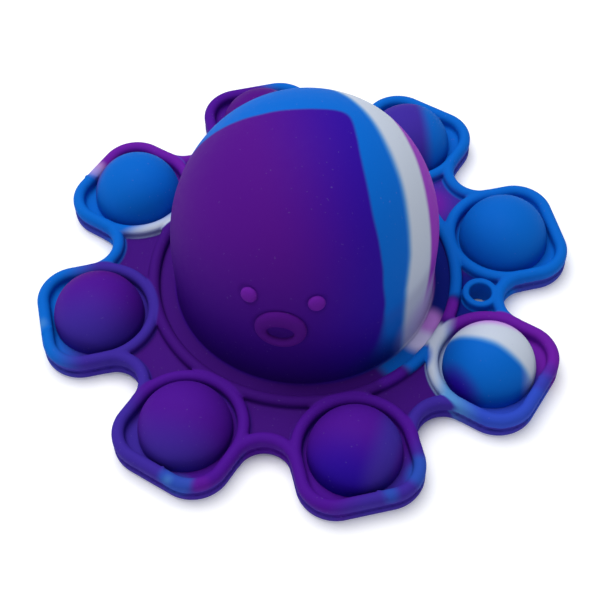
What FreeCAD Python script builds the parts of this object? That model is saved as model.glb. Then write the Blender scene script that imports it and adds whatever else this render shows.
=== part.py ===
"""Octopus push-bubble toy, moulded in one piece of silicone rubber.

A flat plate stands on its lower rims.  Eight short arms ring a tall hollow head, and each arm
carries one small dome.  The head and the domes pop through the plate and back.
Millimetres, +Z up, the origin under the middle of the plate, the face towards -Y and the
keyring eye towards +X.
"""
import FreeCAD, Part

import math
import os

import Sketcher
from FreeCAD import Placement, Rotation, Vector

DIMENSIONS = {
    # the plate and its rim beads
    "arm_reach": 51.0,  # middle of the plate to the middle of an arm's bubble
    "first_arm": 22.5,  # bearing of arm 1, in degrees from +X
    "arm_step": 45.0,  # angle between neighbouring arms
    "rim_side": 13.35,  # middle of a bubble to the crest of the rim beside it
    "rim_tip": 12.85,  # the same, to the crest across the arm's tip
    "rim_corner": 7.75,  # radius of the crest line round the arm's corners
    "rim_height": 7.0,
    "bead_half": 1.45,  # half the width of a rim bead
    "flange_half": 1.8,  # half width of the foot flange on the free edge
    "groove_half": 1.0,  # half width at the groove round the free edge
    "land_half": 0.65,  # half the flat land that the rim stands on
    "flange_top": 2.5,
    "groove_low": 2.9,
    "groove_high": 3.9,
    "groove_lip": 4.6,
    "web_base": 2.5,
    "web_thick": 2.0,
    "notch_sweep": 106.0,  # angle of the rim round the notch between two arms
    "panel_half": 8.5,  # half width of a web panel before it is trimmed
    # the keyring eye in the web panel on +X
    "eyelet_x": 43.1,
    "eyelet_hole": 2.65,
    "eyelet_rim": 4.3,
    "eyelet_land": 0.3,
    # the bubbles
    "bubble_radius": 10.9,
    "bubble_wall": 1.5,
    "bubble_centre": 4.3,  # height of the dome's centre
    "bubble_crown": 8.0,  # radius of the cap that moves as one
    "slide_gap": 0.3,
    # the head
    "head_ring": 37.1,  # crest radius of the bead round the head
    "recess_inner": 33.3,
    "head_radius": 31.6,
    "head_rise": 37.2,  # half height of the egg shape
    "head_equator": 20.7,
    "head_wall": 2.0,
    "face_base": 17.2,
    "crown_radius": 18.9,
    "upper_radius": 27.4,
    # the face
    "eye_side": 7.35,
    "eye_height": 33.8,
    "eye_radius": 1.85,
    "eye_proud": 0.95,
    "mouth_height": 25.8,
    "mouth_half_width": 5.8,
    "mouth_half_height": 5.35,
    "lip_proud": 1.1,
    "lip_hole_height": 24.9,
    "lip_hole_half_width": 3.05,
    "lip_hole_half_height": 2.05,
    "lip_round": 0.5,
}
ARMS = 8
TURN_LEFT = 1
TURN_RIGHT = -1

doc = FreeCAD.newDocument("octopus_popper")
sheet = doc.addObject("Spreadsheet::Sheet", "dims")
nodes = []


class Size:
    """A number together with the spreadsheet formula that gives it."""

    def __init__(self, value, formula):
        self.value = value
        self.formula = formula

    def __add__(self, other):
        other = as_size(other)
        return Size(self.value + other.value, f"({self.formula} + {other.formula})")

    def __sub__(self, other):
        other = as_size(other)
        return Size(self.value - other.value, f"({self.formula} - {other.formula})")

    def __mul__(self, other):
        other = as_size(other)
        return Size(self.value * other.value, f"({self.formula} * {other.formula})")

    def __neg__(self):
        return Size(-self.value, f"(0 - {self.formula})")


def as_size(number):
    """The number itself if it is a Size already, and otherwise a constant one."""
    if isinstance(number, Size):
        return number
    return Size(float(number), f"({float(number)})")


def leg(slant, side):
    """The third side of a right triangle."""
    value = math.sqrt(slant.value**2 - side.value**2)
    return Size(value, f"sqrt({slant.formula}^2 - {side.formula}^2)")


def cosine(angle):
    """The cosine of an angle in degrees."""
    return Size(math.cos(math.radians(angle.value)), f"cos({angle.formula} * 1 deg)")


def sine(angle):
    """The sine of an angle in degrees."""
    return Size(math.sin(math.radians(angle.value)), f"sin({angle.formula} * 1 deg)")


def tangent(angle):
    """The tangent of an angle in degrees."""
    return Size(math.tan(math.radians(angle.value)), f"tan({angle.formula} * 1 deg)")


def dim(name):
    """A driving dimension, by its alias in the spreadsheet."""
    return Size(DIMENSIONS[name], f"dims.{name}")


def fill_sheet():
    """Writes each driving dimension and its alias."""
    for row, (name, value) in enumerate(DIMENSIONS.items(), start=1):
        sheet.set(f"A{row}", name)
        sheet.set(f"B{row}", str(value))
        sheet.setAlias(f"B{row}", name)
    doc.recompute()


def bind(thing, **sizes):
    """Binds properties to their formulas; a double underscore stands for a dot."""
    for name, size in sizes.items():
        thing.setExpression(name.replace("__", "."), as_size(size).formula)


def place(thing, x=None, y=None, z=None, angle=None):
    """Puts a thing at x, y, z and turns it about +Z."""
    zero = as_size(0)
    x, y, z, angle = (zero if part is None else as_size(part) for part in (x, y, z, angle))
    turn = Rotation(Vector(0, 0, 1), angle.value)
    thing.Placement = Placement(Vector(x.value, y.value, z.value), turn)
    bind(thing, Placement__Base__x=x, Placement__Base__y=y, Placement__Base__z=z)
    if angle.value:
        bind(thing, Placement__Rotation__Angle=angle)


def keep(thing, label):
    """Names a finished sub-part."""
    thing.Label = label
    nodes.append(thing)
    return thing


# Sketches

def sketch_on(body, role, name, lift=None):
    """A sketch on one of the body's origin planes, moved along that plane's normal."""
    sketch = body.newObject("Sketcher::SketchObject", name)
    plane = next(f for f in body.Origin.OriginFeatures if f.Role == role)
    sketch.AttachmentSupport = (plane, [""])
    sketch.MapMode = "FlatFace"
    if lift is not None:
        sketch.AttachmentOffset = Placement(Vector(0, 0, lift.value), Rotation())
        bind(sketch, AttachmentOffset__Base__z=lift)
    return sketch


def hold(sketch, kind, size, *places):
    """Adds a constraint whose value follows a formula."""
    index = sketch.addConstraint(Sketcher.Constraint(kind, *places, size.value))
    sketch.setExpression(f"Constraints[{index}]", size.formula)


def pin(sketch, piece, end, x, y):
    """Fixes one point of the sketch at x, y."""
    for kind, size, axis in (("DistanceX", x, -2), ("DistanceY", y, -1)):
        if abs(size.value) < 1e-9:
            sketch.addConstraint(Sketcher.Constraint("PointOnObject", piece, end, axis))
        else:
            hold(sketch, kind, size, -1, 1, piece, end)


def arc_between(start, end, radius, turn):
    """The short arc of that radius from start to end, turning left or right."""
    chord = end - start
    side = Vector(-chord.y, chord.x, 0).normalize() * turn
    rise = math.sqrt(max(radius**2 - chord.Length**2 / 4, 0))
    centre = (start + end) * 0.5 + side * rise
    first, last = (start, end) if turn == TURN_LEFT else (end, start)
    low, high = (math.atan2(p.y - centre.y, p.x - centre.x) for p in (first, last))
    return Part.ArcOfCircle(Part.Circle(centre, Vector(0, 0, 1), radius), low, high)


def draw(sketch, corners, closed=True):
    """Draws lines and arcs through corners: each is x, y, and for an arc its radius and turn."""
    steps = len(corners) if closed else len(corners) - 1
    ends = []
    for i in range(steps):
        x, y, *arc = (as_size(v) for v in corners[i])
        x2, y2 = (as_size(v) for v in corners[(i + 1) % len(corners)][:2])
        start = Vector(x.value, y.value, 0)
        end = Vector(x2.value, y2.value, 0)
        if arc:
            turn = int(arc[1].value)
            piece = sketch.addGeometry(arc_between(start, end, arc[0].value, turn), False)
            ends.append((piece, 1, 2) if turn == TURN_LEFT else (piece, 2, 1))
            hold(sketch, "Radius", arc[0], piece)
        else:
            piece = sketch.addGeometry(Part.LineSegment(start, end), False)
            ends.append((piece, 1, 2))
        pin(sketch, piece, ends[-1][1], x, y)
    for i in range(steps - (not closed)):
        piece, _, last = ends[i]
        following, first, _ = ends[(i + 1) % steps]
        joint = Sketcher.Constraint("Coincident", piece, last, following, first)
        sketch.addConstraint(joint)
    if not closed:
        x, y = (as_size(v) for v in corners[-1][:2])
        pin(sketch, ends[-1][0], ends[-1][2], x, y)


def ring(sketch, x, y, radius):
    """Draws a circle."""
    x, y = as_size(x), as_size(y)
    circle = Part.Circle(Vector(x.value, y.value, 0), Vector(0, 0, 1), radius.value)
    piece = sketch.addGeometry(circle, False)
    pin(sketch, piece, 3, x, y)
    hold(sketch, "Radius", radius, piece)


def plain_bead(sketch, middle):
    """The section of an inner rim: round on top, with a narrow flat land underneath."""
    half, land = dim("bead_half"), dim("land_half")
    foot = half - land
    top = dim("rim_height")
    draw(sketch, [
        (middle - land, 0),
        (middle + land, 0, foot, TURN_LEFT),
        (middle + half, foot),
        (middle + half, top - half, half, TURN_LEFT),
        (middle, top, half, TURN_LEFT),
        (middle - half, top - half),
        (middle - half, foot, foot, TURN_LEFT),
    ])


def edge_bead(sketch, middle, out):
    """The section of a free edge, whose outer side has a groove over a foot flange.

    out is 1 where the free side lies towards +X of the sketch, and -1 where it lies towards -X.
    """
    half, land, flange = dim("bead_half"), dim("land_half"), dim("flange_half")
    heel, toe = half - land, flange - land
    top = dim("rim_height")
    turn = TURN_LEFT * out
    draw(sketch, [
        (middle - land * out, 0),
        (middle + land * out, 0, toe, turn),
        (middle + flange * out, toe),
        (middle + flange * out, dim("flange_top")),
        (middle + dim("groove_half") * out, dim("groove_low")),
        (middle + dim("groove_half") * out, dim("groove_high")),
        (middle + half * out, dim("groove_lip")),
        (middle + half * out, top - half, half, turn),
        (middle, top, half, turn),
        (middle - half * out, top - half),
        (middle - half * out, heel, heel, turn),
    ])


# Features

def new_body(name):
    """An empty body."""
    return doc.addObject("PartDesign::Body", name)


def revolve(body, sketch, angle=360):
    """Turns a section about the body's Z axis, evenly to both sides of its plane."""
    feature = body.newObject("PartDesign::Revolution", f"{sketch.Name}_turned")
    feature.Profile = sketch
    feature.ReferenceAxis = (sketch, ["V_Axis"])
    feature.Midplane = True
    bind(feature, Angle=angle)
    return feature


def pad(body, sketch, length):
    """Raises a flat outline into a sheet."""
    feature = body.newObject("PartDesign::Pad", f"{sketch.Name}_pad")
    feature.Profile = sketch
    bind(feature, Length=length)
    return feature


def trim(body, name, circles):
    """Cuts round holes, each x, y and radius, right through a body."""
    sketch = sketch_on(body, "XY_Plane", name)
    for x, y, radius in circles:
        ring(sketch, x, y, radius)
    feature = body.newObject("PartDesign::Pocket", f"{name}_cut")
    feature.Profile = sketch
    feature.Type = "ThroughAll"
    feature.SideType = "Symmetric"
    return feature


def sweep(body, section, path):
    """Carries a section along a path."""
    feature = body.newObject("PartDesign::AdditivePipe", f"{section.Name}_sweep")
    feature.Profile = section
    feature.Spine = (path, [])
    return feature


# The plate

def loop_corners():
    """The crest line round an arm's tip, from its right side to its left."""
    side, tip, corner = dim("rim_side"), dim("rim_tip"), dim("rim_corner")
    return [
        (0, -side),
        (tip - corner, -side, corner, TURN_LEFT),
        (tip, corner - side),
        (tip, side - corner, corner, TURN_LEFT),
        (tip - corner, side),
        (0, side),
    ]


def make_arm(number, bearing):
    """One arm: the rim round its bubble, and the floor inside the rim with the bubble's hole."""
    side, reach = dim("rim_side"), dim("arm_reach")
    name = f"arm_{number}"
    body = new_body(name)
    inner = sketch_on(body, "XZ_Plane", f"{name}_inner_rim")
    plain_bead(inner, -side)
    revolve(body, inner, 180)
    path = sketch_on(body, "XY_Plane", f"{name}_tip_line")
    draw(path, loop_corners(), closed=False)
    outer = sketch_on(body, "YZ_Plane", f"{name}_outer_rim")
    edge_bead(outer, -side, -1)
    sweep(body, outer, path)
    floor = sketch_on(body, "XY_Plane", f"{name}_floor", dim("web_base"))
    corners = loop_corners()
    corners[-1] = (0, side, side, TURN_LEFT)
    draw(floor, corners + [(-side, 0, side, TURN_LEFT)])
    ring(floor, 0, 0, dim("bubble_radius") - dim("bubble_wall"))
    pad(body, floor, dim("web_thick"))
    head_edge = dim("head_ring") + dim("bead_half")
    trim(body, f"{name}_head_side", [(-reach, 0, head_edge)])
    place(body, reach * cosine(bearing), reach * sine(bearing), angle=bearing)
    return keep(body, name)


def make_web(number, bearing, with_eyelet):
    """One web panel between two arms, with the rim round the notch outside it."""
    half_step = dim("arm_step") * 0.5
    side, half, reach = dim("rim_side"), dim("bead_half"), dim("arm_reach")
    far = reach * Size(1 / math.cos(math.radians(half_step.value)),
                       f"(1 / cos({half_step.formula} * 1 deg))")
    notch = reach * tangent(half_step) - side
    head_edge = dim("head_ring") + half
    wide = dim("panel_half")
    name = f"web_{number}"
    body = new_body(name)
    rim = sketch_on(body, "XZ_Plane", f"{name}_rim")
    edge_bead(rim, -notch, 1)
    revolve(body, rim, dim("notch_sweep"))
    panel = sketch_on(body, "XY_Plane", f"{name}_panel", dim("web_base"))
    near = head_edge - far - 2.5
    draw(panel, [(near, -wide), (-notch, -wide), (-notch, wide), (near, wide)])
    pad(body, panel, dim("web_thick"))
    across = reach * cosine(half_step) - far
    aside = reach * sine(half_step)
    trim(body, f"{name}_arms", [(across, aside, side + half), (across, -aside, side + half)])
    trim(body, f"{name}_head_side", [(-far, 0, head_edge)])
    if with_eyelet:
        trim(body, f"{name}_eye", [(dim("eyelet_x") - far, 0, dim("eyelet_rim"))])
    place(body, far * cosine(bearing), far * sine(bearing), angle=bearing)
    return keep(body, name)


def make_eyelet():
    """The small raised ring for a key chain."""
    body = new_body("eyelet")
    hole, rim, land = dim("eyelet_hole"), dim("eyelet_rim"), dim("eyelet_land")
    middle, half = (hole + rim) * 0.5, (rim - hole) * 0.5
    foot = half - land
    top = dim("rim_height")
    section = sketch_on(body, "XZ_Plane", "eyelet_section")
    draw(section, [
        (middle - land, 0),
        (middle + land, 0, foot, TURN_LEFT),
        (middle + half, foot),
        (middle + half, top - half, half, TURN_LEFT),
        (middle, top, half, TURN_LEFT),
        (middle - half, top - half),
        (middle - half, foot, foot, TURN_LEFT),
    ])
    revolve(body, section)
    place(body, dim("eyelet_x"))
    return keep(body, "eyelet")


def make_head_ring():
    """The bead round the head."""
    body = new_body("head_ring")
    section = sketch_on(body, "XZ_Plane", "head_ring_section")
    plain_bead(section, dim("head_ring"))
    revolve(body, section)
    place(body)
    return keep(body, "head_ring")


def make_recess():
    """The sunk flat strip between the ring and the fold at the foot of the head."""
    body = new_body("head_recess")
    flat = sketch_on(body, "XY_Plane", "head_recess_outline", dim("web_base"))
    ring(flat, 0, 0, dim("head_ring") - dim("bead_half"))
    ring(flat, 0, 0, dim("recess_inner"))
    pad(body, flat, dim("web_thick"))
    place(body)
    return keep(body, "head_recess")


# The bubbles

def dome_point(radius, out):
    """The height of a bubble's sphere of that radius, at a distance out from its axis."""
    return dim("bubble_centre") + leg(radius, out)


def make_bubble(number, bearing):
    """One bubble: the cap that moves as one, and the springy wall that it hangs in."""
    outer = dim("bubble_radius")
    inner = outer - dim("bubble_wall")
    cap, centre, base = dim("bubble_crown"), dim("bubble_centre"), dim("web_base")
    root = base + dim("web_thick")
    brink = cap + dim("slide_gap")
    top = body_of_section(f"bubble_{number}_crown", [
        (0, centre + inner),
        (0, centre + outer, outer, TURN_RIGHT),
        (cap, dome_point(outer, cap)),
        (cap, dome_point(inner, cap), inner, TURN_LEFT),
    ])
    wall = body_of_section(f"bubble_{number}_skirt", [
        (brink, dome_point(inner, brink)),
        (brink, dome_point(outer, brink), outer, TURN_RIGHT),
        (leg(outer, root - centre), root),
        (leg(inner, root - centre), root, inner, TURN_LEFT),
    ])
    for body in (top, wall):
        reach = dim("arm_reach")
        place(body, reach * cosine(bearing), reach * sine(bearing), angle=bearing)


def body_of_section(name, corners):
    """A body turned from one section."""
    body = new_body(name)
    section = sketch_on(body, "XZ_Plane", f"{name}_section")
    draw(section, corners)
    revolve(body, section)
    return keep(body, name)


# The head

def egg(name, shrink):
    """The egg shape of the head, smaller all round by shrink."""
    shape = doc.addObject("Part::Ellipsoid", name)
    round_radius = dim("head_radius") - shrink
    bind(shape, Radius1=dim("head_rise") - shrink, Radius2=round_radius, Radius3=round_radius)
    place(shape, z=dim("head_equator"))
    return shape


def cylinder(name, radius, low, high):
    """An upright cylinder on the Z axis."""
    shape = doc.addObject("Part::Cylinder", name)
    bind(shape, Radius=radius, Height=high - low)
    place(shape, z=low)
    return shape


def boolean(kind, name, base, tool):
    """A cut, a common part or a fusion of two solids."""
    shape = doc.addObject(f"Part::{kind}", name)
    shape.Base = base
    shape.Tool = tool
    return shape


def tube(name, inner, outer, low, high):
    """An upright tube on the Z axis."""
    margin = as_size(1)
    core = cylinder(f"{name}_core", inner, low - margin, high + margin)
    return boolean("Cut", name, cylinder(f"{name}_outside", outer, low, high), core)


def make_head():
    """The head's shell, cut into the rings that slide past one another as it pops."""
    outside = egg("head_outside", as_size(0))
    shell = boolean("Cut", "head_shell", outside, egg("head_inside", dim("head_wall")))
    gap, base = dim("slide_gap"), dim("face_base")
    crown, upper = dim("crown_radius"), dim("upper_radius")
    middle, top = dim("head_equator"), dim("head_equator") + dim("head_rise") + 5
    clear = dim("head_ring")
    cap = cylinder("crown_bounds", crown, middle, top)
    keep(boolean("Common", "head_crown", shell, cap), "head_crown")
    belt = tube("upper_bounds", crown + gap, upper, middle, top)
    keep(boolean("Common", "head_upper", shell, belt), "head_upper")
    front = tube("face_bounds", upper + gap, clear, base, top)
    keep(boolean("Common", "head_face", shell, front), "head_face")
    floor, inner = dim("web_base"), dim("head_radius") - dim("head_wall")
    wall = tube("skirt_wall", inner, dim("head_radius"), floor, base - gap)
    fold = tube("skirt_fold", inner, dim("recess_inner"), floor, floor + dim("web_thick"))
    keep(boolean("Fuse", "head_skirt", wall, fold), "head_skirt")
    return outside


def make_eye(name, side, outside):
    """A round raised eye on the head's front."""
    rise = dim("eye_height") - dim("head_equator")
    out = Size(math.sqrt(1 - (rise.value / dim("head_rise").value)**2),
               f"sqrt(1 - ({rise.formula} / dims.head_rise)^2)")
    girth = dim("head_radius") * out
    depth = leg(girth, dim("eye_side"))
    ball = doc.addObject("Part::Ellipsoid", f"{name}_ball")
    bind(ball, Radius1=dim("eye_radius"), Radius2=dim("eye_radius"))
    bind(ball, Radius3=dim("eye_proud"))
    lean = Size(math.degrees(math.asin(dim("eye_side").value / girth.value)),
                f"asin(dims.eye_side / {girth.formula})") * side
    place(ball, dim("eye_side") * side, -depth, dim("eye_height"), angle=lean)
    return keep(boolean("Cut", name, ball, outside), name)


def oval_bar(name, half_width, half_height, height):
    """An oval bar that runs from the head's middle out through its front."""
    oval = doc.addObject("Part::Ellipse", f"{name}_oval")
    bind(oval, MajorRadius=half_width, MinorRadius=half_height)
    oval.Placement = Placement(Vector(0, 0, height.value), Rotation(Vector(1, 0, 0), 90))
    bind(oval, Placement__Base__z=height)
    bar = doc.addObject("Part::Extrusion", name)
    bar.Base = oval
    bar.Dir = Vector(0, -1, 0)
    bar.DirMode = "Custom"
    bar.Solid = True
    bind(bar, LengthFwd=dim("head_radius") + 10)
    return bar


def make_mouth(outside):
    """The raised oval lip round the mouth."""
    layer = boolean("Cut", "lip_layer", egg("lip_outside", -dim("lip_proud")), outside)
    disc = oval_bar("lip_disc", dim("mouth_half_width"), dim("mouth_half_height"),
                    dim("mouth_height"))
    hole = oval_bar("lip_hole", dim("lip_hole_half_width"), dim("lip_hole_half_height"),
                    dim("lip_hole_height"))
    lip = boolean("Common", "lip_solid", layer, disc)
    raw = boolean("Cut", "lip_raw", lip, hole)
    doc.recompute()
    soft = doc.addObject("Part::Fillet", "mouth")
    soft.Base = raw
    proud = [i for i, edge in enumerate(raw.Shape.Edges, start=1) if is_outer(edge)]
    radius = DIMENSIONS["lip_round"]
    soft.Edges = [(i, radius, radius) for i in proud]
    return keep(soft, "mouth")


def is_outer(edge):
    """Whether an edge lies on the lip's outer face and not on the head."""
    point = edge.valueAt((edge.FirstParameter + edge.LastParameter) / 2)
    drop = (point.z - DIMENSIONS["head_equator"]) / DIMENSIONS["head_rise"]
    girth = math.hypot(point.x, point.y) / DIMENSIONS["head_radius"]
    return drop**2 + girth**2 > 1.02


def write_parts():
    """Checks every object of the document and writes one file for each sub-part."""
    doc.recompute()
    for thing in doc.Objects:
        if "Invalid" in thing.State or "Error" in thing.State:
            raise RuntimeError(f"{thing.Label} is {thing.State}")
    os.makedirs("parts", exist_ok=True)
    for node in nodes:
        shape = node.Shape
        if shape.isNull() or not shape.isValid() or len(shape.Solids) != 1:
            raise RuntimeError(f"{node.Label} isn't one sound solid")
        shape.exportStep(f"parts/{node.Label}.step")
        box = shape.BoundBox
        print(f"{node.Label:18s} {shape.Volume:9.1f} mm3  z {box.ZMin:6.2f} {box.ZMax:6.2f}"
              f"  x {box.XMin:7.2f} {box.XMax:7.2f}  y {box.YMin:7.2f} {box.YMax:7.2f}")


fill_sheet()
for arm in range(ARMS):
    arm_bearing = dim("first_arm") + dim("arm_step") * arm
    make_arm(arm + 1, arm_bearing)
    make_bubble(arm + 1, arm_bearing)
    make_web(arm + 1, dim("arm_step") * arm, with_eyelet=arm == 0)
make_eyelet()
make_head_ring()
make_recess()
head = make_head()
make_eye("eye_left", -1, head)
make_eye("eye_right", 1, head)
make_mouth(head)
write_parts()
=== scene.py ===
"""Octopus push-bubble toy in tie-dyed silicone, on a pale floor.

Shapes are worked out in millimetres in the part's own frame (+Z up, the face towards -Y, the
keyring eye towards +X) and turned into metres when each mesh is made.
"""

import math

import bpy
import numpy as np
from mathutils import Matrix, Vector


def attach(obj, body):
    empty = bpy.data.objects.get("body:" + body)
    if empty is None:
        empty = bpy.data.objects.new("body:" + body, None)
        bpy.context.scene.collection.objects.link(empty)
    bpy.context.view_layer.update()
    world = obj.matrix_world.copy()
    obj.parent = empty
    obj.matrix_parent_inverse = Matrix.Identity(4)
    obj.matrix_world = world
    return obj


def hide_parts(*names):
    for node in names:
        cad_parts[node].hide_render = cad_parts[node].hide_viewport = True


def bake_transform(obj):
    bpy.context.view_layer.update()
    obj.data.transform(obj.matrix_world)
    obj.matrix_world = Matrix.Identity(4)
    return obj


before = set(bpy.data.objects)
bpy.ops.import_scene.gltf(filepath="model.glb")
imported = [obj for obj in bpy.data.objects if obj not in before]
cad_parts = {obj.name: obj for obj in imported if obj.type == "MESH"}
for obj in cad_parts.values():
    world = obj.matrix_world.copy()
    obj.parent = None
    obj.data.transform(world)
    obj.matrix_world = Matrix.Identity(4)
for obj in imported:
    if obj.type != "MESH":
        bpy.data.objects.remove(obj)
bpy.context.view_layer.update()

MM = 0.001
ARMS = 8
FIRST_ARM = math.radians(22.5)
ARM_STEP = math.radians(45)

# the plate and its rims
REACH = 51.0  # middle of the plate to the middle of a bubble
RIM_SIDE = 13.35  # middle of a bubble to the crest line of its rim
RIM_TIP = 12.85
RIM_CORNER = 7.75
RIM_HEIGHT = 7.0
MIDDLE = RIM_HEIGHT / 2
BEAD = 1.45  # radius of a rim bead
WEB_HALF = 1.0  # half the thickness of the web
DIP = 0.9  # how far the floor of an arm sinks at its bubble
WELD = 3.0  # how far to the left of an arm's tip the streams of rubber met and left a ridge
NOTCH_AWAY = REACH * math.tan(ARM_STEP / 2)
NOTCH = NOTCH_AWAY - RIM_SIDE  # radius of the crest line round a notch
FOOT = 0.95  # how far out from the crest line the foot of a rim is filled
FOOT_BACK = 0.2  # and how far in
FOOT_LOW, FOOT_HIGH = 0.25, 2.55
FOOT_ROUND = 0.45
GROOVE = 1.0  # how far out the floor of the groove lies
GROOVE_LOW, GROOVE_HIGH = 2.75, 4.1
HEAD_RING = 37.1
EYELET_X = 43.1
EYELET_HOLE = 2.65
EYELET_RIM = 4.3
EYELET_ROUND = 0.5
NET_STEP = (0.54, 0.54, 0.42)  # the spacing of the plate's mesh
NET_MARGIN = 0.6

# the bubbles
BUBBLE = 10.9
BUBBLE_WALL = 1.5
BUBBLE_CENTRE = 4.3
BUBBLE_TOP = BUBBLE_CENTRE + BUBBLE

# the head
HEAD_RADIUS = 31.6
HEAD_RISE = 37.2
HEAD_EQUATOR = 20.7
HEAD_WALL = 2.0
HEAD_TOP = HEAD_EQUATOR + HEAD_RISE
FOLD_ROUND = 1.1
HEAD_LEAN = 2.7  # how far the soft head leans towards the keyring eye at its top

# the face
EYE_SIDE = 7.35
EYE_Z = 33.8
EYE = 1.9
EYE_PROUD = 0.95
LIP = (5.8, 5.35)  # half width and half height
LIP_Z = 25.8
LIP_PROUD = 1.1
LIP_HOLE = (3.05, 2.05)
LIP_HOLE_Z = 24.9
CREASE = 0.22


# Meshes

def add_mesh(name, points, faces):
    """A smooth mesh object from points in millimetres, which keeps each point's rest place."""
    points = np.asarray(points, float)
    mesh = bpy.data.meshes.new(name)
    mesh.from_pydata((points * MM).tolist(), [], [list(map(int, f)) for f in faces])
    mesh.validate()
    mesh.shade_smooth()
    rest = mesh.attributes.new("rest", "FLOAT_VECTOR", "POINT")
    rest.data.foreach_set("vector", points.astype(np.float32).ravel())
    thing = bpy.data.objects.new(name, mesh)
    bpy.context.scene.collection.objects.link(thing)
    return thing


def smooth_union(a, b, reach):
    """The union of two distance fields, with a fillet where they meet."""
    share = np.clip(0.5 + 0.5 * (b - a) / reach, 0, 1)
    return b + (a - b) * share - reach * share * (1 - share)


def smooth_cut(a, hole, reach):
    """One distance field with another taken out of it, and the edge rounded."""
    return -smooth_union(-a, hole, reach)


def ramp(value, low, high):
    """Rises smoothly from 0 at low to 1 at high."""
    t = np.clip((value - low) / (high - low), 0, 1)
    return t * t * (3 - 2 * t)


def bead(away, height, radius):
    """The distance to an upright rim with round edges, away from its crest line."""
    straight = MIDDLE - radius
    return np.hypot(away, np.maximum(np.abs(height - MIDDLE) - straight, 0)) - radius


def arm_frame(points):
    """Folds points into the nearest arm's frame: outward from its bubble, and to its left."""
    bearing = np.arctan2(points[:, 1], points[:, 0]) - FIRST_ARM
    off = (bearing + ARM_STEP / 2) % ARM_STEP - ARM_STEP / 2
    radius = np.hypot(points[:, 0], points[:, 1])
    return radius * np.cos(off) - REACH, radius * np.sin(off)


def weld_ridge(points):
    """The distance to the fine ridge across the rim at the tips of the front and left arms."""
    outward, left = arm_frame(points)
    along = outward - RIM_TIP
    aside = left - WELD - 0.5 * along
    past = np.maximum(np.abs(along) - 1.2, 0)
    height = points[:, 2] - RIM_HEIGHT + 0.15 + 0.25 * along**2
    bare = (points[:, 1] > 30) | ((points[:, 0] > 0) & (points[:, 1] > 0))
    return np.where(bare, 1.0, np.sqrt(past**2 + aside**2 + height**2) - 0.3)


def loop_distance(u, v):
    """The signed distance to the crest line that runs round an arm."""
    round_part = np.hypot(u, v) - RIM_SIDE
    du, dv = u - (RIM_TIP - RIM_CORNER), v - (RIM_SIDE - RIM_CORNER)
    inside = np.minimum(np.maximum(du, dv), 0)
    square_part = np.hypot(np.maximum(du, 0), np.maximum(dv, 0)) + inside - RIM_CORNER
    return np.where(u < 0, round_part, square_part)


def web_field(edge, out, from_bubble, z):
    """The distance to the flat web, which dips towards the bubbles and is open at the domes."""
    dip = DIP * ramp(from_bubble, BUBBLE + 4.5, BUBBLE + 0.5)
    web = np.maximum(edge, np.abs(z - MIDDLE) - WEB_HALF)
    web = np.maximum(web, z - MIDDLE - WEB_HALF + dip)
    web = np.maximum(web, HEAD_RING - BEAD / 2 - out)
    return np.maximum(web, BUBBLE - 0.25 - from_bubble)


def groove_field(edge, z):
    """The distance to the groove that runs round the free edge."""
    half = (GROOVE_HIGH - GROOVE_LOW) / 2
    return np.maximum(GROOVE - edge, np.abs(z - (GROOVE_LOW + GROOVE_HIGH) / 2) - half)


def foot_field(edge, z):
    """The distance to the band that fills the foot of a rim under its groove."""
    half = (FOOT_HIGH - FOOT_LOW) / 2
    out = np.abs(edge) - FOOT + FOOT_ROUND
    up = np.abs(z - (FOOT_LOW + FOOT_HIGH) / 2) - half + FOOT_ROUND
    foot = np.hypot(np.maximum(out, 0), np.maximum(up, 0)) - FOOT_ROUND
    return np.maximum(foot, -edge - FOOT_BACK)


def eyelet_field(from_eyelet, z):
    """The distance to the keyring eye, before its hole is taken out."""
    half = (EYELET_RIM - EYELET_HOLE) / 2
    out = np.maximum(np.abs(from_eyelet - EYELET_HOLE - half) - half + EYELET_ROUND, 0)
    up = np.maximum(np.abs(z - MIDDLE) - MIDDLE + EYELET_ROUND, 0)
    return np.hypot(out, up) - EYELET_ROUND


def plate_field(points):
    """The distance to the plate's surface, negative inside the rubber."""
    x, y, z = points.T
    u, v = arm_frame(points)
    v = np.abs(v)
    out = np.hypot(x, y)
    from_eyelet = np.hypot(x - EYELET_X, y)
    loop = loop_distance(u, v)
    notch = NOTCH - np.hypot(u, v - NOTCH_AWAY)
    edge = np.minimum(loop, np.maximum(notch, u))
    rims = bead(np.abs(loop), z, BEAD)
    notch_rim = np.maximum(bead(np.abs(notch), z, BEAD), u - 0.4)
    rims = smooth_union(rims, notch_rim, 0.25)
    rims = smooth_union(rims, bead(np.abs(out - HEAD_RING), z, BEAD), 0.35)
    rims = smooth_union(rims, weld_ridge(points), 0.4)
    rims = smooth_cut(rims, groove_field(edge, z), 0.2)
    rims = smooth_union(rims, foot_field(edge, z), 0.25)
    solid = smooth_union(rims, web_field(edge, out, np.hypot(u, v), z), 0.7)
    solid = smooth_union(solid, eyelet_field(from_eyelet, z), 0.3)
    return smooth_cut(solid, from_eyelet - EYELET_HOLE, 0.25)


def slope(field, points, step=0.02):
    """The gradient of a distance field."""
    parts = []
    for axis in range(3):
        ahead, behind = points.copy(), points.copy()
        ahead[:, axis] += step
        behind[:, axis] -= step
        parts.append((field(ahead) - field(behind)) / (2 * step))
    return np.stack(parts, 1)


def settle(field, points, rounds=4):
    """Moves points onto the surface where the field is nought."""
    for _ in range(rounds):
        lean = slope(field, points)
        size = np.maximum((lean**2).sum(1), 0.05)
        points = points - lean * (field(points) / size)[:, None]
    return points


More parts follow.
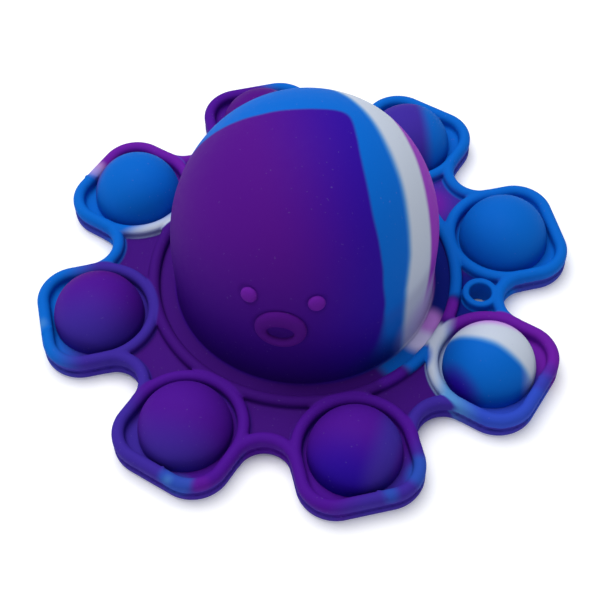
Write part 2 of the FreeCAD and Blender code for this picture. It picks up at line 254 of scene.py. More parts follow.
def surface_net(field, low, high, step):
    """A closed mesh of quads round the places where the field is negative."""
    axes = [np.arange(a, b + s, s) for a, b, s in zip(low, high, step)]
    grid = np.stack(np.meshgrid(*axes, indexing="ij"), -1)
    value = field(grid.reshape(-1, 3)).reshape(grid.shape[:3])
    inside = value < 0
    cells = tuple(n - 1 for n in value.shape)
    corner = [(i, j, k) for i in (0, 1) for j in (0, 1) for k in (0, 1)]

    def at(array, offset):
        return array[tuple(slice(o, o + n) for o, n in zip(offset, cells))]

    filled = sum(at(inside, c).astype(np.int8) for c in corner)
    mixed = (filled > 0) & (filled < 8)
    number = np.full(cells, -1)
    number[mixed] = np.arange(mixed.sum())
    total = np.zeros((mixed.sum(), 3))
    count = np.zeros(mixed.sum())
    for a in corner:
        for axis in range(3):
            if a[axis]:
                continue
            b = tuple(o + (n == axis) for n, o in enumerate(a))
            va, vb = at(value, a)[mixed], at(value, b)[mixed]
            crosses = (va < 0) != (vb < 0)
            share = np.where(crosses, va / np.where(crosses, va - vb, 1), 0)
            where = np.tile(np.array(a, float), (len(va), 1))
            where[:, axis] += share
            total += where * crosses[:, None]
            count += crosses
    base = np.argwhere(mixed) + total / count[:, None]
    points = np.asarray(low) + base * np.asarray(step)
    return settle(field, points), net_faces(inside, number)


def net_faces(inside, number):
    """The quads of a surface net: one round each grid edge that crosses the surface."""
    faces = []
    for axis in range(3):
        one, two = (axis + 1) % 3, (axis + 2) % 3
        here = np.take(inside, range(inside.shape[axis] - 1), axis)
        there = np.take(inside, range(1, inside.shape[axis]), axis)
        place = np.argwhere(here != there)
        keep = (place[:, one] > 0) & (place[:, two] > 0)
        keep &= (place[:, one] < number.shape[one]) & (place[:, two] < number.shape[two])
        place = place[keep]
        ring = []
        for a, b in ((0, 0), (1, 0), (1, 1), (0, 1)):
            cell = place.copy()
            cell[:, one] -= a
            cell[:, two] -= b
            ring.append(number[tuple(cell.T)])
        quads = np.stack(ring, 1)
        outward = inside[tuple(place.T)]
        quads[~outward] = quads[~outward][:, ::-1]
        faces.append(quads)
    return np.concatenate(faces)


def lathe(profile, bearings):
    """Points and faces of a section, from one pole to the other, turned about the Z axis."""
    poles = [i for i in (0, len(profile) - 1) if profile[i][0] == 0]
    points, rows = [], []
    for i, (radius, height) in enumerate(profile):
        if i in poles:
            rows.append([len(points)] * len(bearings))
            points.append((0.0, 0.0, height))
            continue
        rows.append(list(range(len(points), len(points) + len(bearings))))
        points += [(radius * math.cos(b), radius * math.sin(b), height) for b in bearings]
    faces = []
    for upper, lower in zip(rows, rows[1:]):
        for n in range(len(bearings)):
            m = (n + 1) % len(bearings)
            quad = [upper[n], lower[n], lower[m], upper[m]]
            faces.append(list(dict.fromkeys(quad)))
    return np.array(points), faces


def arc(centre, radii, start, end, count):
    """Points of an elliptical arc in a section, from one angle to another in degrees."""
    angles = np.radians(np.linspace(start, end, count))
    return [(centre[0] + radii[0] * math.cos(a), centre[1] + radii[1] * math.sin(a))
            for a in angles]


def rounded(profile, corners, radius, count=6):
    """A section with some of its corners rounded off, given by their indexes."""
    out = []
    for i, here in enumerate(profile):
        if i not in corners:
            out.append(here)
            continue
        before, after = np.array(profile[i - 1]), np.array(profile[i + 1])
        here = np.array(here)
        to_before, to_after = before - here, after - here
        reach = min(radius, 0.9 * np.hypot(*to_before), 0.9 * np.hypot(*to_after))
        start = here + to_before / np.hypot(*to_before) * reach
        end = here + to_after / np.hypot(*to_after) * reach
        for t in np.linspace(0, 1, count):
            spot = start * (1 - t)**2 + here * 2 * t * (1 - t) + end * t**2
            out.append(tuple(spot))
    return out


def bubble_profile():
    """The section of a bubble, from its top down the outside and up the inside."""
    outer, inner = BUBBLE, BUBBLE - BUBBLE_WALL
    low = MIDDLE - WEB_HALF - 0.12
    centre = (0, BUBBLE_CENTRE)
    outside = arc(centre, (outer, outer), 90, 1.5, 44)
    foot = [(outer, MIDDLE), (outer, low), (inner, low)]
    inside = arc(centre, (inner, inner), -6, 90, 36)
    profile = outside + foot + inside
    profile[0] = (0, profile[0][1])
    profile[-1] = (0, profile[-1][1])
    start = len(outside)
    return rounded(profile, (start + 1, start + 2), 0.5)


def head_girth(height):
    """The head's outside radius at a height: straight below the equator, an egg above it."""
    rise = np.maximum(height - HEAD_EQUATOR, 0) / HEAD_RISE
    return HEAD_RADIUS * np.sqrt(np.maximum(1 - rise**2, 0))


def head_profile():
    """The section of the head, from its top down to the fold, under it and up the inside."""
    centre = (0, HEAD_EQUATOR)
    top, under = MIDDLE + WEB_HALF, MIDDLE - WEB_HALF
    hidden = HEAD_RING - BEAD / 2
    inner = HEAD_RADIUS - HEAD_WALL
    upper = arc(centre, (HEAD_RADIUS, HEAD_RISE), 90, 36, 50)
    face = arc(centre, (HEAD_RADIUS, HEAD_RISE), 35.4, 0, 64)
    lower = [(HEAD_RADIUS, z) for z in np.linspace(HEAD_EQUATOR - 0.4, top, 30)]
    strip = [(r, top) for r in np.linspace(HEAD_RADIUS, hidden, 8)[1:]]
    back = [(r, under) for r in np.linspace(hidden, inner, 9)]
    rising = [(inner, z) for z in np.linspace(under, HEAD_EQUATOR, 14)[1:-1]]
    inside = arc(centre, (inner, HEAD_RISE - HEAD_WALL), 0, 90, 60)
    profile = upper + face + lower + strip + back + rising + inside
    profile[0] = (0, profile[0][1])
    profile[-1] = (0, profile[-1][1])
    foot = len(upper) + len(face) + len(lower) - 1
    root = foot + len(strip) + len(back)
    return rounded(profile, (foot, root), FOLD_ROUND, 9)


def leaning(points):
    """The head's points moved aside as it leans, its right side a little more than its left."""
    x, y, z = np.asarray(points, float).T
    rise = np.maximum(z - MIDDLE - WEB_HALF, 0) / (HEAD_TOP - MIDDLE - WEB_HALF)
    return np.stack([x + HEAD_LEAN * rise**2 * (0.75 + 0.25 * np.tanh(x / 10)), y, z], 1)


def head_surface(across, height, proud=0.0):
    """Points on the front of the head, or just over it, by their X and Z."""
    girth = head_girth(height)
    spot = np.stack([across, -np.sqrt(girth**2 - across**2), height], -1)
    lean = spot - (0, 0, HEAD_EQUATOR)
    lean = lean / np.array([HEAD_RADIUS, HEAD_RADIUS, HEAD_RISE])**2
    lean = lean / np.linalg.norm(lean, axis=-1, keepdims=True)
    return spot + lean * np.asarray(proud)[..., None], lean


def carve_face(points):
    """Sinks the mouth's hollow, and the fine creases round the eyes and the lip, into the head."""
    x, y, z = points.T
    front = (y < 0) & (z > 12) & (np.abs(np.hypot(x, y) - head_girth(z)) < 0.3)
    hollow = np.hypot(x / LIP_HOLE[0], (z - LIP_HOLE_Z) / LIP_HOLE[1])
    depth = 0.9 * ramp(hollow, 1.25, 0.35)
    lip = (np.hypot(x / LIP[0], (z - LIP_Z) / LIP[1]) - 1) * LIP[1]
    depth += CREASE * np.exp(-((lip - 0.1) / 0.35)**2)
    for side in (-1, 1):
        eye = np.hypot(x - side * EYE_SIDE, z - EYE_Z) - EYE
        depth += CREASE * np.exp(-((eye - 0.1) / 0.35)**2)
    _, lean = head_surface(np.where(front, x, 0), np.where(front, z, HEAD_EQUATOR))
    return points - lean * (depth * front)[:, None]


def eye_mesh(side):
    """A raised round eye with its rim sunk into the head."""
    profile = arc((0, 0), (EYE, EYE_PROUD), 90, 0, 14)
    profile[0] = (0, EYE_PROUD)
    profile += [(EYE, -0.3), (EYE - 0.1, -0.5), (0, -0.5)]
    points, faces = lathe(profile, np.linspace(0, 2 * math.pi, 48, endpoint=False))
    spot, lean = head_surface(np.array([side * EYE_SIDE]), np.array([EYE_Z]))
    out = Vector(lean[0])
    across = Vector((0, 0, 1)).cross(out).normalized()
    axes = np.array([across, out.cross(across), out])
    return spot[0] + points @ axes, faces


def mouth_mesh():
    """The raised lip: a ring whose section is a low half oval, with its back in the head."""
    rounds, section = 96, 28
    turn = np.linspace(0, 2 * math.pi, rounds, endpoint=False)[:, None]
    slant = np.linspace(0, 2 * math.pi, section, endpoint=False)[None, :]
    share = 0.5 + 0.5 * np.cos(slant)
    height = np.where(np.sin(slant) > 0, LIP_PROUD, 0.7) * np.sin(slant)
    height = np.sign(height) * np.abs(height)**0.85
    x_in, x_out = LIP_HOLE[0] * np.cos(turn), LIP[0] * np.cos(turn)
    z_in, z_out = LIP_HOLE_Z + LIP_HOLE[1] * np.sin(turn), LIP_Z + LIP[1] * np.sin(turn)
    across = x_in + (x_out - x_in) * share
    up = z_in + (z_out - z_in) * share
    points, _ = head_surface(across, up, height + np.zeros_like(across))
    faces = []
    for i in range(rounds):
        for j in range(section):
            a, b = (i + 1) % rounds, (j + 1) % section
            faces.append((i * section + j, i * section + b, a * section + b, a * section + j))
    return points.reshape(-1, 3), faces


# Materials

def linear(red, green, blue):
    """A colour on the 0 to 255 display scale as scene light."""
    parts = (c / 255 for c in (red, green, blue))
    return (*(c / 12.92 if c < 0.04 else ((c + 0.055) / 1.055)**2.4 for c in parts), 1)


BLUE = linear(8, 102, 200)
SKY = linear(84, 146, 206)
NAVY = linear(16, 30, 125)
SLATE = linear(48, 76, 190)
VIOLET = linear(62, 42, 152)
INDIGO = linear(42, 12, 152)
PURPLE = linear(78, 20, 145)
PLUM = linear(67, 18, 124)
WINE = linear(83, 16, 130)
# painted shade, laid on the head's lower front
PAINTED_SHADE = linear(46, 6, 122)
LILAC = linear(106, 28, 156)
MAGENTA = linear(150, 56, 184)
PINK = linear(208, 168, 216)
BLUSH = linear(200, 134, 224)
LAVENDER = linear(194, 182, 222)
WHITE = linear(196, 204, 218)
SNOW = linear(214, 206, 240)
DUST = linear(150, 130, 190)


class DyeAndShade:
    """The colour of a material: dabs laid one over another in the part's own space, mostly marbled
    dye, and on the head and the face also painted shade.
    """

    def __init__(self, name, base, wander=3.0):
        self.material = bpy.data.materials.new(name)
        self.material.use_nodes = True
        self.tree = self.material.node_tree
        self.shader = self.tree.nodes["Principled BSDF"]
        self.rest = self.node("ShaderNodeAttribute", attribute_name="rest").outputs["Vector"]
        self.place = self.wandered(wander)
        self.colour = None
        self.start(base)

    def node(self, kind, **settings):
        """A node with some of its settings."""
        made = self.tree.nodes.new(kind)
        for name, value in settings.items():
            setattr(made, name, value)
        return made

    def link(self, source, target):
        """Joins two sockets, or sets the target to a plain value."""
        if hasattr(source, "is_output"):
            self.tree.links.new(source, target)
        else:
            target.default_value = source

    def math(self, kind, *values):
        """A Math node's result."""
        made = self.node("ShaderNodeMath", operation=kind)
        for socket, value in zip(made.inputs, values):
            self.link(value, socket)
        return made.outputs[0]

    def vector(self, kind, *values, out="Vector"):
        """A Vector Math node's result."""
        made = self.node("ShaderNodeVectorMath", operation=kind)
        for socket, value in zip(made.inputs, values):
            self.link(value, socket)
        return made.outputs[out]

    def noise(self, scale, detail=2.0, place=None, out="Fac"):
        """Noise that changes over about one part in scale of a millimetre."""
        made = self.node("ShaderNodeTexNoise")
        made.inputs["Scale"].default_value = scale
        made.inputs["Detail"].default_value = detail
        self.link(self.rest if place is None else place, made.inputs["Vector"])
        return made.outputs[out]

    def wandered(self, amount):
        """The rest place pushed about by slow noise, as liquid rubber flows before it sets."""
        place = self.rest
        for scale, size in ((0.035, amount), (0.13, amount * 0.22)):
            swirl = self.vector("SUBTRACT", self.noise(scale, 1.0, out="Color"), (0.5,) * 3)
            push = self.vector("SCALE", swirl)
            push.node.inputs["Scale"].default_value = size * 2
            place = self.vector("ADD", place, push)
        return place

    def start(self, base):
        """Sets the colour under all the dabs."""
        mix = self.node("ShaderNodeMix", data_type="RGBA")
        self.link(self.math("MULTIPLY", self.noise(0.05), 0.5), mix.inputs["Factor"])
        mix.inputs["A"].default_value = base
        mix.inputs["B"].default_value = tuple(c * 0.82 for c in base[:3]) + (1,)
        self.colour = mix.outputs["Result"]

    def fade(self, distance, soft):
        """1 where the distance is below nought, falling to 0 over a soft border."""
        made = self.node("ShaderNodeMapRange", interpolation_type="SMOOTHSTEP")
        made.inputs["From Min"].default_value = soft / 2
        made.inputs["From Max"].default_value = -soft / 2
        self.link(distance, made.inputs["Value"])
        return made.outputs["Result"]

    def along_ball(self, centre, radius, place=None):
        """How far each point lies outside a ball."""
        away = self.vector("SUBTRACT", self.place if place is None else place, centre)
        return self.math("SUBTRACT", self.vector("LENGTH", away, out="Value"), radius)

    def along(self, normal, offset, place=None):
        """How far each point lies beyond a plane."""
        place = self.place if place is None else place
        reach = self.vector("DOT_PRODUCT", place, normal, out="Value")
        return self.math("SUBTRACT", reach, offset)

    def radius(self):
        """The distance from the Z axis."""
        flat = self.vector("MULTIPLY", self.rest, (1, 1, 0))
        return self.vector("LENGTH", flat, out="Value")

    def ball(self, centre, radius, soft):
        """The mask of a round dab."""
        return self.fade(self.along_ball(centre, radius), soft)

    def side(self, normal, offset, soft):
        """The mask of all that lies behind a plane."""
        return self.fade(self.along(normal, offset), soft)

    def beyond(self, normal, offset, soft, place=None):
        """The mask of all that lies beyond a plane."""
        away = self.along(normal, offset, place)
        return self.fade(self.math("MULTIPLY", away, -1.0), soft)

    def both(self, one, two):
        """Where two masks overlap."""
        return self.math("MULTIPLY", one, two)

    def dab(self, colour, mask, strength=1.0):
        """Lays a colour over what is there, where the mask allows."""
        mix = self.node("ShaderNodeMix", data_type="RGBA")
        if strength < 1:
            mask = self.math("MULTIPLY", mask, strength)
        self.link(mask, mix.inputs["Factor"])
        self.link(self.colour, mix.inputs["A"])
        mix.inputs["B"].default_value = colour
        self.colour = mix.outputs["Result"]

    def finish(self):
        """Adds dust, grain and the matte silicone surface."""
        specks = self.noise(1.7, 0.0)
        dust = self.node("ShaderNodeMapRange", interpolation_type="SMOOTHSTEP")
        dust.inputs["From Min"].default_value = 0.80
        dust.inputs["From Max"].default_value = 0.86
        self.link(specks, dust.inputs["Value"])
        self.dab(DUST, dust.outputs["Result"], 0.12)
        self.link(self.colour, self.shader.inputs["Base Color"])
        rough = self.node("ShaderNodeMapRange")
        rough.inputs["To Min"].default_value = 0.6
        rough.inputs["To Max"].default_value = 0.8
        self.link(self.noise(0.4, 3.0), rough.inputs["Value"])
        self.link(rough.outputs["Result"], self.shader.inputs["Roughness"])
        grain = self.math("ADD", self.noise(4.0, 2.0), self.math("MULTIPLY", self.noise(0.7), 1.5))
        bump = self.node("ShaderNodeBump")
        bump.inputs["Strength"].default_value = 0.25
        bump.inputs["Distance"].default_value = 0.03 * MM
        self.link(grain, bump.inputs["Height"])
        self.link(bump.outputs["Normal"], self.shader.inputs["Normal"])
        self.shader.inputs["IOR"].default_value = 1.41
        self.shader.inputs["Specular IOR Level"].default_value = 0.06
        return self.material


def arm_spot(number, out=0.0, aside=0.0, height=0.0):
    """A place on an arm: outward from its bubble's middle, and aside to its left."""
    bearing = FIRST_ARM + ARM_STEP * (number - 1)
    radius = REACH + out
    return (radius * math.cos(bearing) - aside * math.sin(bearing),
            radius * math.sin(bearing) + aside * math.cos(bearing), height)


def polar(radius, degrees, height=MIDDLE):
    """A place by its distance and bearing from the Z axis."""
    bearing = math.radians(degrees)
    return radius * math.cos(bearing), radius * math.sin(bearing), height


def head_dye_and_shade(name):
    """The head: purple, with blue, white and magenta bands down its right side, and painted shade on
    its lower front.
    """
    dye_and_shade = DyeAndShade(name, PURPLE, 1.3)
    dye_and_shade.dab(WINE, dye_and_shade.beyond((-1, -0.35, 0), -10, 26), 0.8)
    # painted shade: the front and the foot of the head are darkened, as by the light from above and
    # behind
    dye_and_shade.dab(PAINTED_SHADE, dye_and_shade.side((0, 0.6, 0.8), 8, 40), 0.9)
    dye_and_shade.dab(INDIGO, dye_and_shade.beyond((0.91, 0.41, 0), 0, 24), 0.88)
    # the borders of the blue and the white run straight down below the shoulder
    upright = dye_and_shade.vector("MAXIMUM", dye_and_shade.place, (-99, -99, 28))
    front = dye_and_shade.along((0.937, 0.343, 0.069), 15.25, upright)
    front = dye_and_shade.math("MULTIPLY", front, sharpness(dye_and_shade))
    top = dye_and_shade.along((-0.136, 0.977, 0.165), 15.0)
    edge = dye_and_shade.math("SMOOTH_MAX", front, top, 6.0)
    dye_and_shade.dab(BLUE, dye_and_shade.fade(dye_and_shade.math("MULTIPLY", edge, -1.0), 1.0))
    # painted shade: navy darkens the blue band towards the foot of the head
    dye_and_shade.dab(NAVY, dye_and_shade.ball(polar(HEAD_RADIUS, 315, 4), 7.0, 12.0), 0.9)
    dye_and_shade.dab(SKY, dye_and_shade.beyond((0.746, 0.619, -0.246), 1.7, 1.6, upright))
    dye_and_shade.dab(WHITE, dye_and_shade.beyond((0.746, 0.619, -0.246), 2.7, 2.0, upright))
    dye_and_shade.dab(MAGENTA, dye_and_shade.beyond((0.846, 0.524, -0.1), 19.57, 1.8))
    dye_and_shade.dab(LAVENDER, dye_and_shade.ball(polar(HEAD_RADIUS, 344, 8), 8.0, 12.0))
    dye_and_shade.dab(PURPLE, dye_and_shade.beyond((0.6, 0.8, 0), 27.5, 3.0))
    strip = dye_and_shade.fade(dye_and_shade.math("SUBTRACT", HEAD_RADIUS + 0.45, dye_and_shade.radius()), 0.9)
    dye_and_shade.dab(PLUM, strip)
    for colour, bearing, size in STRIP_SPOTS:
        spot = dye_and_shade.ball(polar(HEAD_RADIUS + 1.5, bearing), size, 3.5)
        dye_and_shade.dab(colour, dye_and_shade.both(strip, spot))
    return dye_and_shade


def sharpness(dye_and_shade):
    """How sharp the front border of the blue is: it blurs towards the foot of the head."""
    height = dye_and_shade.vector("DOT_PRODUCT", dye_and_shade.rest, (0, 0, 1), out="Value")
    made = dye_and_shade.node("ShaderNodeMapRange", interpolation_type="SMOOTHSTEP")
    made.inputs["From Min"].default_value = 10
    made.inputs["From Max"].default_value = 36
    made.inputs["To Min"].default_value = 0.12
    dye_and_shade.link(height, made.inputs["Value"])
    return made.outputs["Result"]


# Spots of colour on the sunk strip round the head: (colour, bearing, size).
STRIP_SPOTS = ((NAVY, 10, 13.0), (BLUE, 322, 5.4), (SNOW, 335.5, 4.0), (BLUSH, 345, 3.4))


# Dabs of colour on the rims and the bubbles of the arms.  Each covers what lies further than
# some millimetres from the middle of the bubble, in a direction told in degrees anticlockwise
# from straight outward: (colour, direction, millimetres, width of the soft border).
RIM_DABS = {
    1: (BLUE, []),
    2: (BLUE, [(VIOLET, 180, 11, 4)]),
    3: (PURPLE, [(BLUE, -50, 11, 5)]),
    4: (BLUE, [(LILAC, -90, 0.5, 3), (WHITE, 150, 12.5, 4)]),
    5: (VIOLET, [(BLUE, -15, 6, 10)]),
    6: (PURPLE, [(VIOLET, -30, 7, 8)]),
    7: (PURPLE, [(VIOLET, 30, 9, 6)]),
    8: (SLATE, [(LILAC, 90, 3, 4), (SKY, -140, 7.5, 7), (WHITE, -159, 10, 5)]),
}
# Small spots where the streams met at the tips: (arm, colour, outward, aside, size).
TIP_SPOTS = (
    (4, PINK, 13.0, 0.0, 2.6), (5, SKY, 13.6, 1.0, 1.4), (6, BLUE, 13.2, 6.2, 4.0),
    (6, SKY, 14.0, 4.5, 0.7), (6, LILAC, 11.3, 12.0, 2.2), (7, BLUE, 12.5, 5.0, 1.8),
    (7, BLUE, 8.5, 12.8, 3.6), (8, VIOLET, 12.5, 2.5, 4.0),
)
BUBBLE_DABS = {
    1: (BLUE, []),
    2: (BLUE, [(VIOLET, 127, -4.4, 4)]),
    3: (WINE, [(BLUE, -90, 6, 4)]),
    4: (BLUE, [(PURPLE, 0, 8, 5)]),
    5: (PURPLE, [(WINE, -90, 5, 6), (VIOLET, 70, 4, 14)]),
    6: (PURPLE, [(VIOLET, 15, 6, 12)]),
    7: (PURPLE, [(INDIGO, -20, 4, 12), (VIOLET, 60, 5, 5), (PURPLE, 60, 10, 3)]),
    8: (BLUE, [(INDIGO, -111, 8.6, 3), (SKY, 90, -0.9, 1.4), (WHITE, 90, 0, 1.8),
               (WHITE, 32, 8.9, 6), (BLUSH, 112, 6.3, 4)]),
}


def arm_dabs(dye_and_shade, number, dabs, zone=None):
    """Lays an arm's dabs, within a zone if there is one."""
    bearing = FIRST_ARM + ARM_STEP * (number - 1)
    for colour, direction, offset, soft in dabs:
        turned = bearing + math.radians(direction)
        normal = (-math.cos(turned), -math.sin(turned), 0)
        from_axis = REACH * math.cos(math.radians(direction)) + offset
        mask = dye_and_shade.side(normal, -from_axis, soft)
        dye_and_shade.dab(colour, mask if zone is None else dye_and_shade.both(zone, mask))


def plate_dye(name):
    """The plate: purple webs, and a different run of colours round each arm."""
    dye_and_shade = DyeAndShade(name, PLUM, 1.6)
    for colour, bearing, away, size in WEB_SPOTS:
        dye_and_shade.dab(colour, dye_and_shade.ball(polar(away, bearing), size, 5.0))
    for colour, bearing in NOTCH_SPOTS:
        notch = polar(REACH / math.cos(ARM_STEP / 2), bearing)
        dye_and_shade.dab(colour, dye_and_shade.fade(dye_and_shade.along_ball(notch, NOTCH + BEAD + 0.4, dye_and_shade.rest), 0.8))
    flattened = dye_and_shade.vector("MULTIPLY", dye_and_shade.rest, (1, 1, 0))
    dye_and_shade.dab(BLUE, dye_and_shade.fade(dye_and_shade.along_ball((EYELET_X, 0, 0), EYELET_RIM + 0.3, flattened), 0.5))
    for number, (base, dabs) in RIM_DABS.items():
        zone, inside = (rim_zone(dye_and_shade, number, grown) for grown in (1.6, -1.6))
        dye_and_shade.dab(base, dye_and_shade.fade(zone, 0.7))
        arm_dabs(dye_and_shade, number, dabs, dye_and_shade.fade(zone, 0.7))
        wall = dye_and_shade.math("MAXIMUM", zone, dye_and_shade.math("MULTIPLY", inside, -1.0))
        wall = dye_and_shade.math("MAXIMUM", wall, dye_and_shade.along((0, 0, 1), 4.4))
        dye_and_shade.dab(VIOLET, dye_and_shade.fade(wall, 1.2), 0.75)
    for number, colour, out, aside, size in TIP_SPOTS:
        spot = arm_spot(number, out, aside, RIM_HEIGHT - 1)
        dye_and_shade.dab(colour, dye_and_shade.ball(spot, size, 2.5), 0.5)
    raised = dye_and_shade.beyond((0, 0, 1), 5.2, 0.8, dye_and_shade.rest)
    for colour, bearing, away, size in RING_SPOTS:
        spot = dye_and_shade.ball(polar(away, bearing, RIM_HEIGHT - 1), size, 2.5)
        dye_and_shade.dab(colour, dye_and_shade.both(raised, spot))
    return dye_and_shade


def rim_zone(dye_and_shade, number, grown):
    """How far each point lies outside an arm's crest line, let out by some millimetres."""
    near = dye_and_shade.along_ball(arm_spot(number, 0.0, 0.0, MIDDLE), RIM_SIDE + grown, dye_and_shade.rest)
    tip = dye_and_shade.along_ball(arm_spot(number, 4.0, 0.0, MIDDLE), RIM_SIDE + grown + 0.8, dye_and_shade.rest)
    return dye_and_shade.math("SMOOTH_MIN", near, tip, 0.5)


# Spots of colour on the webs, on the rims of the notches, and round the bead of the head:
# (colour, bearing, and maybe the distance from the Z axis and the size).
WEB_SPOTS = ((NAVY, 0, 42, 8.0), (VIOLET, 45, 42, 9.0), (LILAC, 45, 38, 5.5), (MAGENTA, 43, 35, 3.0))
NOTCH_SPOTS = ((BLUE, 0), (BLUE, 45), (PURPLE, 90), (LILAC, 135), (BLUE, 180), (VIOLET, 225),
               (PURPLE, 270), (VIOLET, 315))
RING_SPOTS = (
    (BLUE, 18, 37, 13.5), (BLUE, 326, 36, 4.4), (PURPLE, 313, 37, 3.6), (WHITE, 338, 36, 3.4),
    (LILAC, 351, 37, 3.2),
)


# The pieces

def show(thing, body_from, dye_and_shade, stands_for, bend=None):
    """Gives a piece its material and hides the nodes it stands for; a piece with no bend is put on
    its body, one with a bend has its place baked into its mesh.
    """
    thing.data.materials.append(dye_and_shade.finish())
    if bend is None:
        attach(thing, body_from)
    else:
        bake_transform(thing)
    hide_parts(*stands_for)


def make_plate():
    """The whole plate with its rims and the keyring eye."""
    span = REACH + RIM_SIDE + 4
    low, high = (-span, -span, -NET_MARGIN), (span, span, RIM_HEIGHT + NET_MARGIN)
    points, faces = surface_net(plate_field, low, high, NET_STEP)
    plate = add_mesh("skin_plate", points, faces)
    numbers = range(1, ARMS + 1)
    nodes = [f"arm_{n}" for n in numbers] + [f"web_{n}" for n in numbers]
    show(plate, "plate", plate_dye("dye_plate"), nodes + ["eyelet", "head_ring"])


def make_bubble(number):
    """One bubble."""
    points, faces = lathe(bubble_profile(), np.linspace(0, 2 * math.pi, 96, endpoint=False))
    spot = arm_spot(number)
    bubble = add_mesh(f"skin_bubble_{number}", points + np.array(spot), faces)
    base, dabs = BUBBLE_DABS[number]
    dye_and_shade = DyeAndShade(f"dye_bubble_{number}", base, 1.6)
    arm_dabs(dye_and_shade, number, dabs)
    show(bubble, "plate", dye_and_shade,
         [f"bubble_{number}_crown", f"bubble_{number}_skirt"],
         (f"bubble_{number}", spot[:2], BUBBLE_CENTRE, BUBBLE_TOP))


HEAD_BEND = ("head_crown", (0, 0), MIDDLE + 1.5, HEAD_TOP)


def make_head():
    """The head, with the sunk strip round its foot."""
    front = np.radians(np.linspace(270 - 26, 270 + 26, 77))
    rest = np.radians(np.linspace(270 + 26, 630 - 26, 173))[1:-1]
    points, faces = lathe(head_profile(), np.concatenate([front, rest]))
    head = add_mesh("skin_head", leaning(carve_face(points)), faces)
    show(head, "plate", head_dye_and_shade("dye_and_shade_head"),
         ["head_crown", "head_upper", "head_face", "head_skirt", "head_recess"], HEAD_BEND)


def make_face():
    """The eyes and the lip, with painted shade on their lower parts."""
    for name, (points, faces), node in (("skin_eye_left", eye_mesh(-1), "eye_left"),
                                        ("skin_eye_right", eye_mesh(1), "eye_right"),
                                        ("skin_mouth", mouth_mesh(), "mouth")):
        dye_and_shade = DyeAndShade(f"dye_{node}", WINE if node == "mouth" else LILAC, 1.0)
        # painted shade: the eyes and the lip darken towards the bottom
        dye_and_shade.dab(PLUM, dye_and_shade.side((0, 0, 1), EYE_Z - 4, 9), 0.3)
        thing = add_mesh(name, leaning(points), faces)
        show(thing, "plate", dye_and_shade, [node], HEAD_BEND)


# The stage

CAMERA_BEARING = 11.52
CAMERA_LIFT = 54.08
CAMERA_ROLL = -2.06
CAMERA_AWAY = 324.15
CAMERA_SIDE = -1.11
CAMERA_UP = -7.49
CAMERA_TARGET = RIM_HEIGHT
CAMERA_LENS = 79.3


def add_camera():
    """The camera, in front of the toy, a little to its right and well above it."""
    turn, lift, roll = map(math.radians, (CAMERA_BEARING, CAMERA_LIFT, CAMERA_ROLL))
    back = Vector((math.sin(turn) * math.cos(lift), -math.cos(turn) * math.cos(lift),
                   math.sin(lift)))
    level = Vector((0, 0, 1)).cross(back).normalized()
    upright = back.cross(level)
    right = level * math.cos(roll) + upright * math.sin(roll)
    up = upright * math.cos(roll) - level * math.sin(roll)
    spot = back * CAMERA_AWAY + right * CAMERA_SIDE + up * CAMERA_UP
    spot = (spot + Vector((0, 0, CAMERA_TARGET))) * MM
    data = bpy.data.cameras.new("camera")
    data.lens = CAMERA_LENS
    data.sensor_width = 36
    data.clip_start = 0.01
    camera = bpy.data.objects.new("camera", data)
    turned = Matrix((right, up, back)).transposed().to_4x4()
    camera.matrix_world = Matrix.Translation(spot) @ turned
    bpy.context.scene.collection.objects.link(camera)
    bpy.context.scene.camera = camera


def add_light(name, place, size, power):
    """A soft square light aimed at the middle of the toy."""
    data = bpy.data.lights.new(name, "AREA")
    data.shape = "SQUARE"
    data.size = size
    data.energy = power
    light = bpy.data.objects.new(name, data)
    spot = Vector(place)
    light.location = spot
    light.rotation_euler = (spot - Vector((0, 0, 0.02))).to_track_quat("Z", "Y").to_euler()
    bpy.context.scene.collection.objects.link(light)


def add_floor():
    """A wide pale floor."""
    mesh = bpy.data.meshes.new("floor")
    half = 3.0
    corners = [(-half, -half, 0), (half, -half, 0), (half, half, 0), (-half, half, 0)]
    mesh.from_pydata(corners, [], [(0, 1, 2, 3)])
    floor = bpy.data.objects.new("floor", mesh)
    bpy.context.scene.collection.objects.link(floor)
    material = bpy.data.materials.new("floor")
    material.use_nodes = True
    shader = material.node_tree.nodes["Principled BSDF"]
    shader.inputs["Base Color"].default_value = (0.9, 0.9, 0.9, 1)
    shader.inputs["Roughness"].default_value = 0.8
    shader.inputs["Emission Color"].default_value = (1, 1, 1, 1)
    glow_by_place(material.node_tree, shader)
    open_below(material.node_tree, shader)
    mesh.materials.append(material)


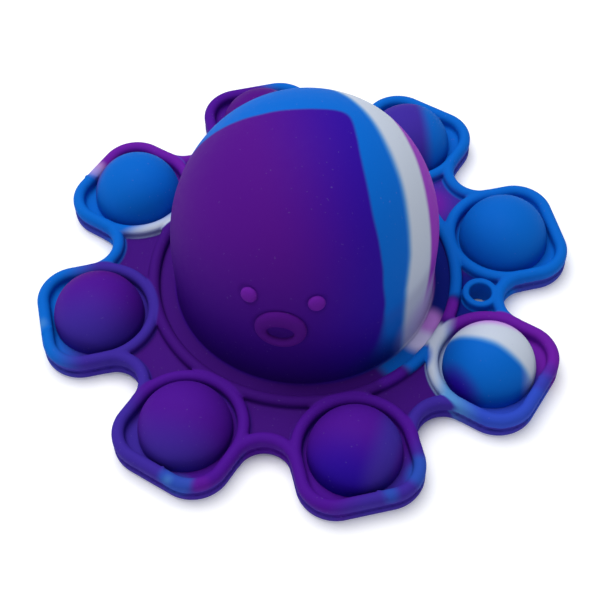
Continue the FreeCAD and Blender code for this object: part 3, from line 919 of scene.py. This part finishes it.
def glow_by_place(tree, shader):
    """Lets the floor glow a little, but not in the dark right under the toy."""
    place = tree.nodes.new("ShaderNodeTexCoord")
    away = tree.nodes.new("ShaderNodeVectorMath")
    away.operation = "LENGTH"
    glow = tree.nodes.new("ShaderNodeMapRange")
    glow.inputs["From Min"].default_value = 0.045
    glow.inputs["From Max"].default_value = 0.055
    glow.inputs["To Max"].default_value = 0.25
    tree.links.new(place.outputs["Object"], away.inputs[0])
    tree.links.new(away.outputs["Value"], glow.inputs["Value"])
    tree.links.new(glow.outputs["Result"], shader.inputs["Emission Strength"])


def open_below(tree, shader):
    """Leaves the floor open under the head and the bubbles, which pop down through it."""
    place = tree.nodes.new("ShaderNodeTexCoord").outputs["Object"]
    discs = [((0, 0, 0), HEAD_RADIUS + 0.5)]
    discs += [(arm_spot(n), BUBBLE + 0.3) for n in range(1, ARMS + 1)]
    hole = None
    for centre, radius in discs:
        away = tree.nodes.new("ShaderNodeVectorMath")
        away.operation = "DISTANCE"
        away.inputs[1].default_value = [c * MM for c in centre]
        tree.links.new(place, away.inputs[0])
        inside = tree.nodes.new("ShaderNodeMath")
        inside.operation = "LESS_THAN"
        inside.inputs[1].default_value = radius * MM
        tree.links.new(away.outputs["Value"], inside.inputs[0])
        if hole is None:
            hole = inside.outputs[0]
            continue
        either = tree.nodes.new("ShaderNodeMath")
        either.operation = "MAXIMUM"
        tree.links.new(hole, either.inputs[0])
        tree.links.new(inside.outputs[0], either.inputs[1])
        hole = either.outputs[0]
    mix = tree.nodes.new("ShaderNodeMixShader")
    clear = tree.nodes.new("ShaderNodeBsdfTransparent")
    tree.links.new(hole, mix.inputs["Fac"])
    tree.links.new(shader.outputs["BSDF"], mix.inputs[1])
    tree.links.new(clear.outputs["BSDF"], mix.inputs[2])
    tree.links.new(mix.outputs["Shader"], tree.nodes["Material Output"].inputs["Surface"])


def add_world():
    """A plain white surround."""
    world = bpy.data.worlds.new("surround")
    world.use_nodes = True
    background = world.node_tree.nodes["Background"]
    background.inputs["Color"].default_value = (0.88, 0.93, 1.0, 1)
    background.inputs["Strength"].default_value = 0.38
    bpy.context.scene.world = world
    bpy.context.scene.view_settings.view_transform = "Standard"


add_camera()
add_world()
add_floor()
add_light("key", (-0.17, 0.13, 0.78), 0.6, 5.6)
make_plate()
make_head()
make_face()
for arm in range(1, ARMS + 1):
    make_bubble(arm)
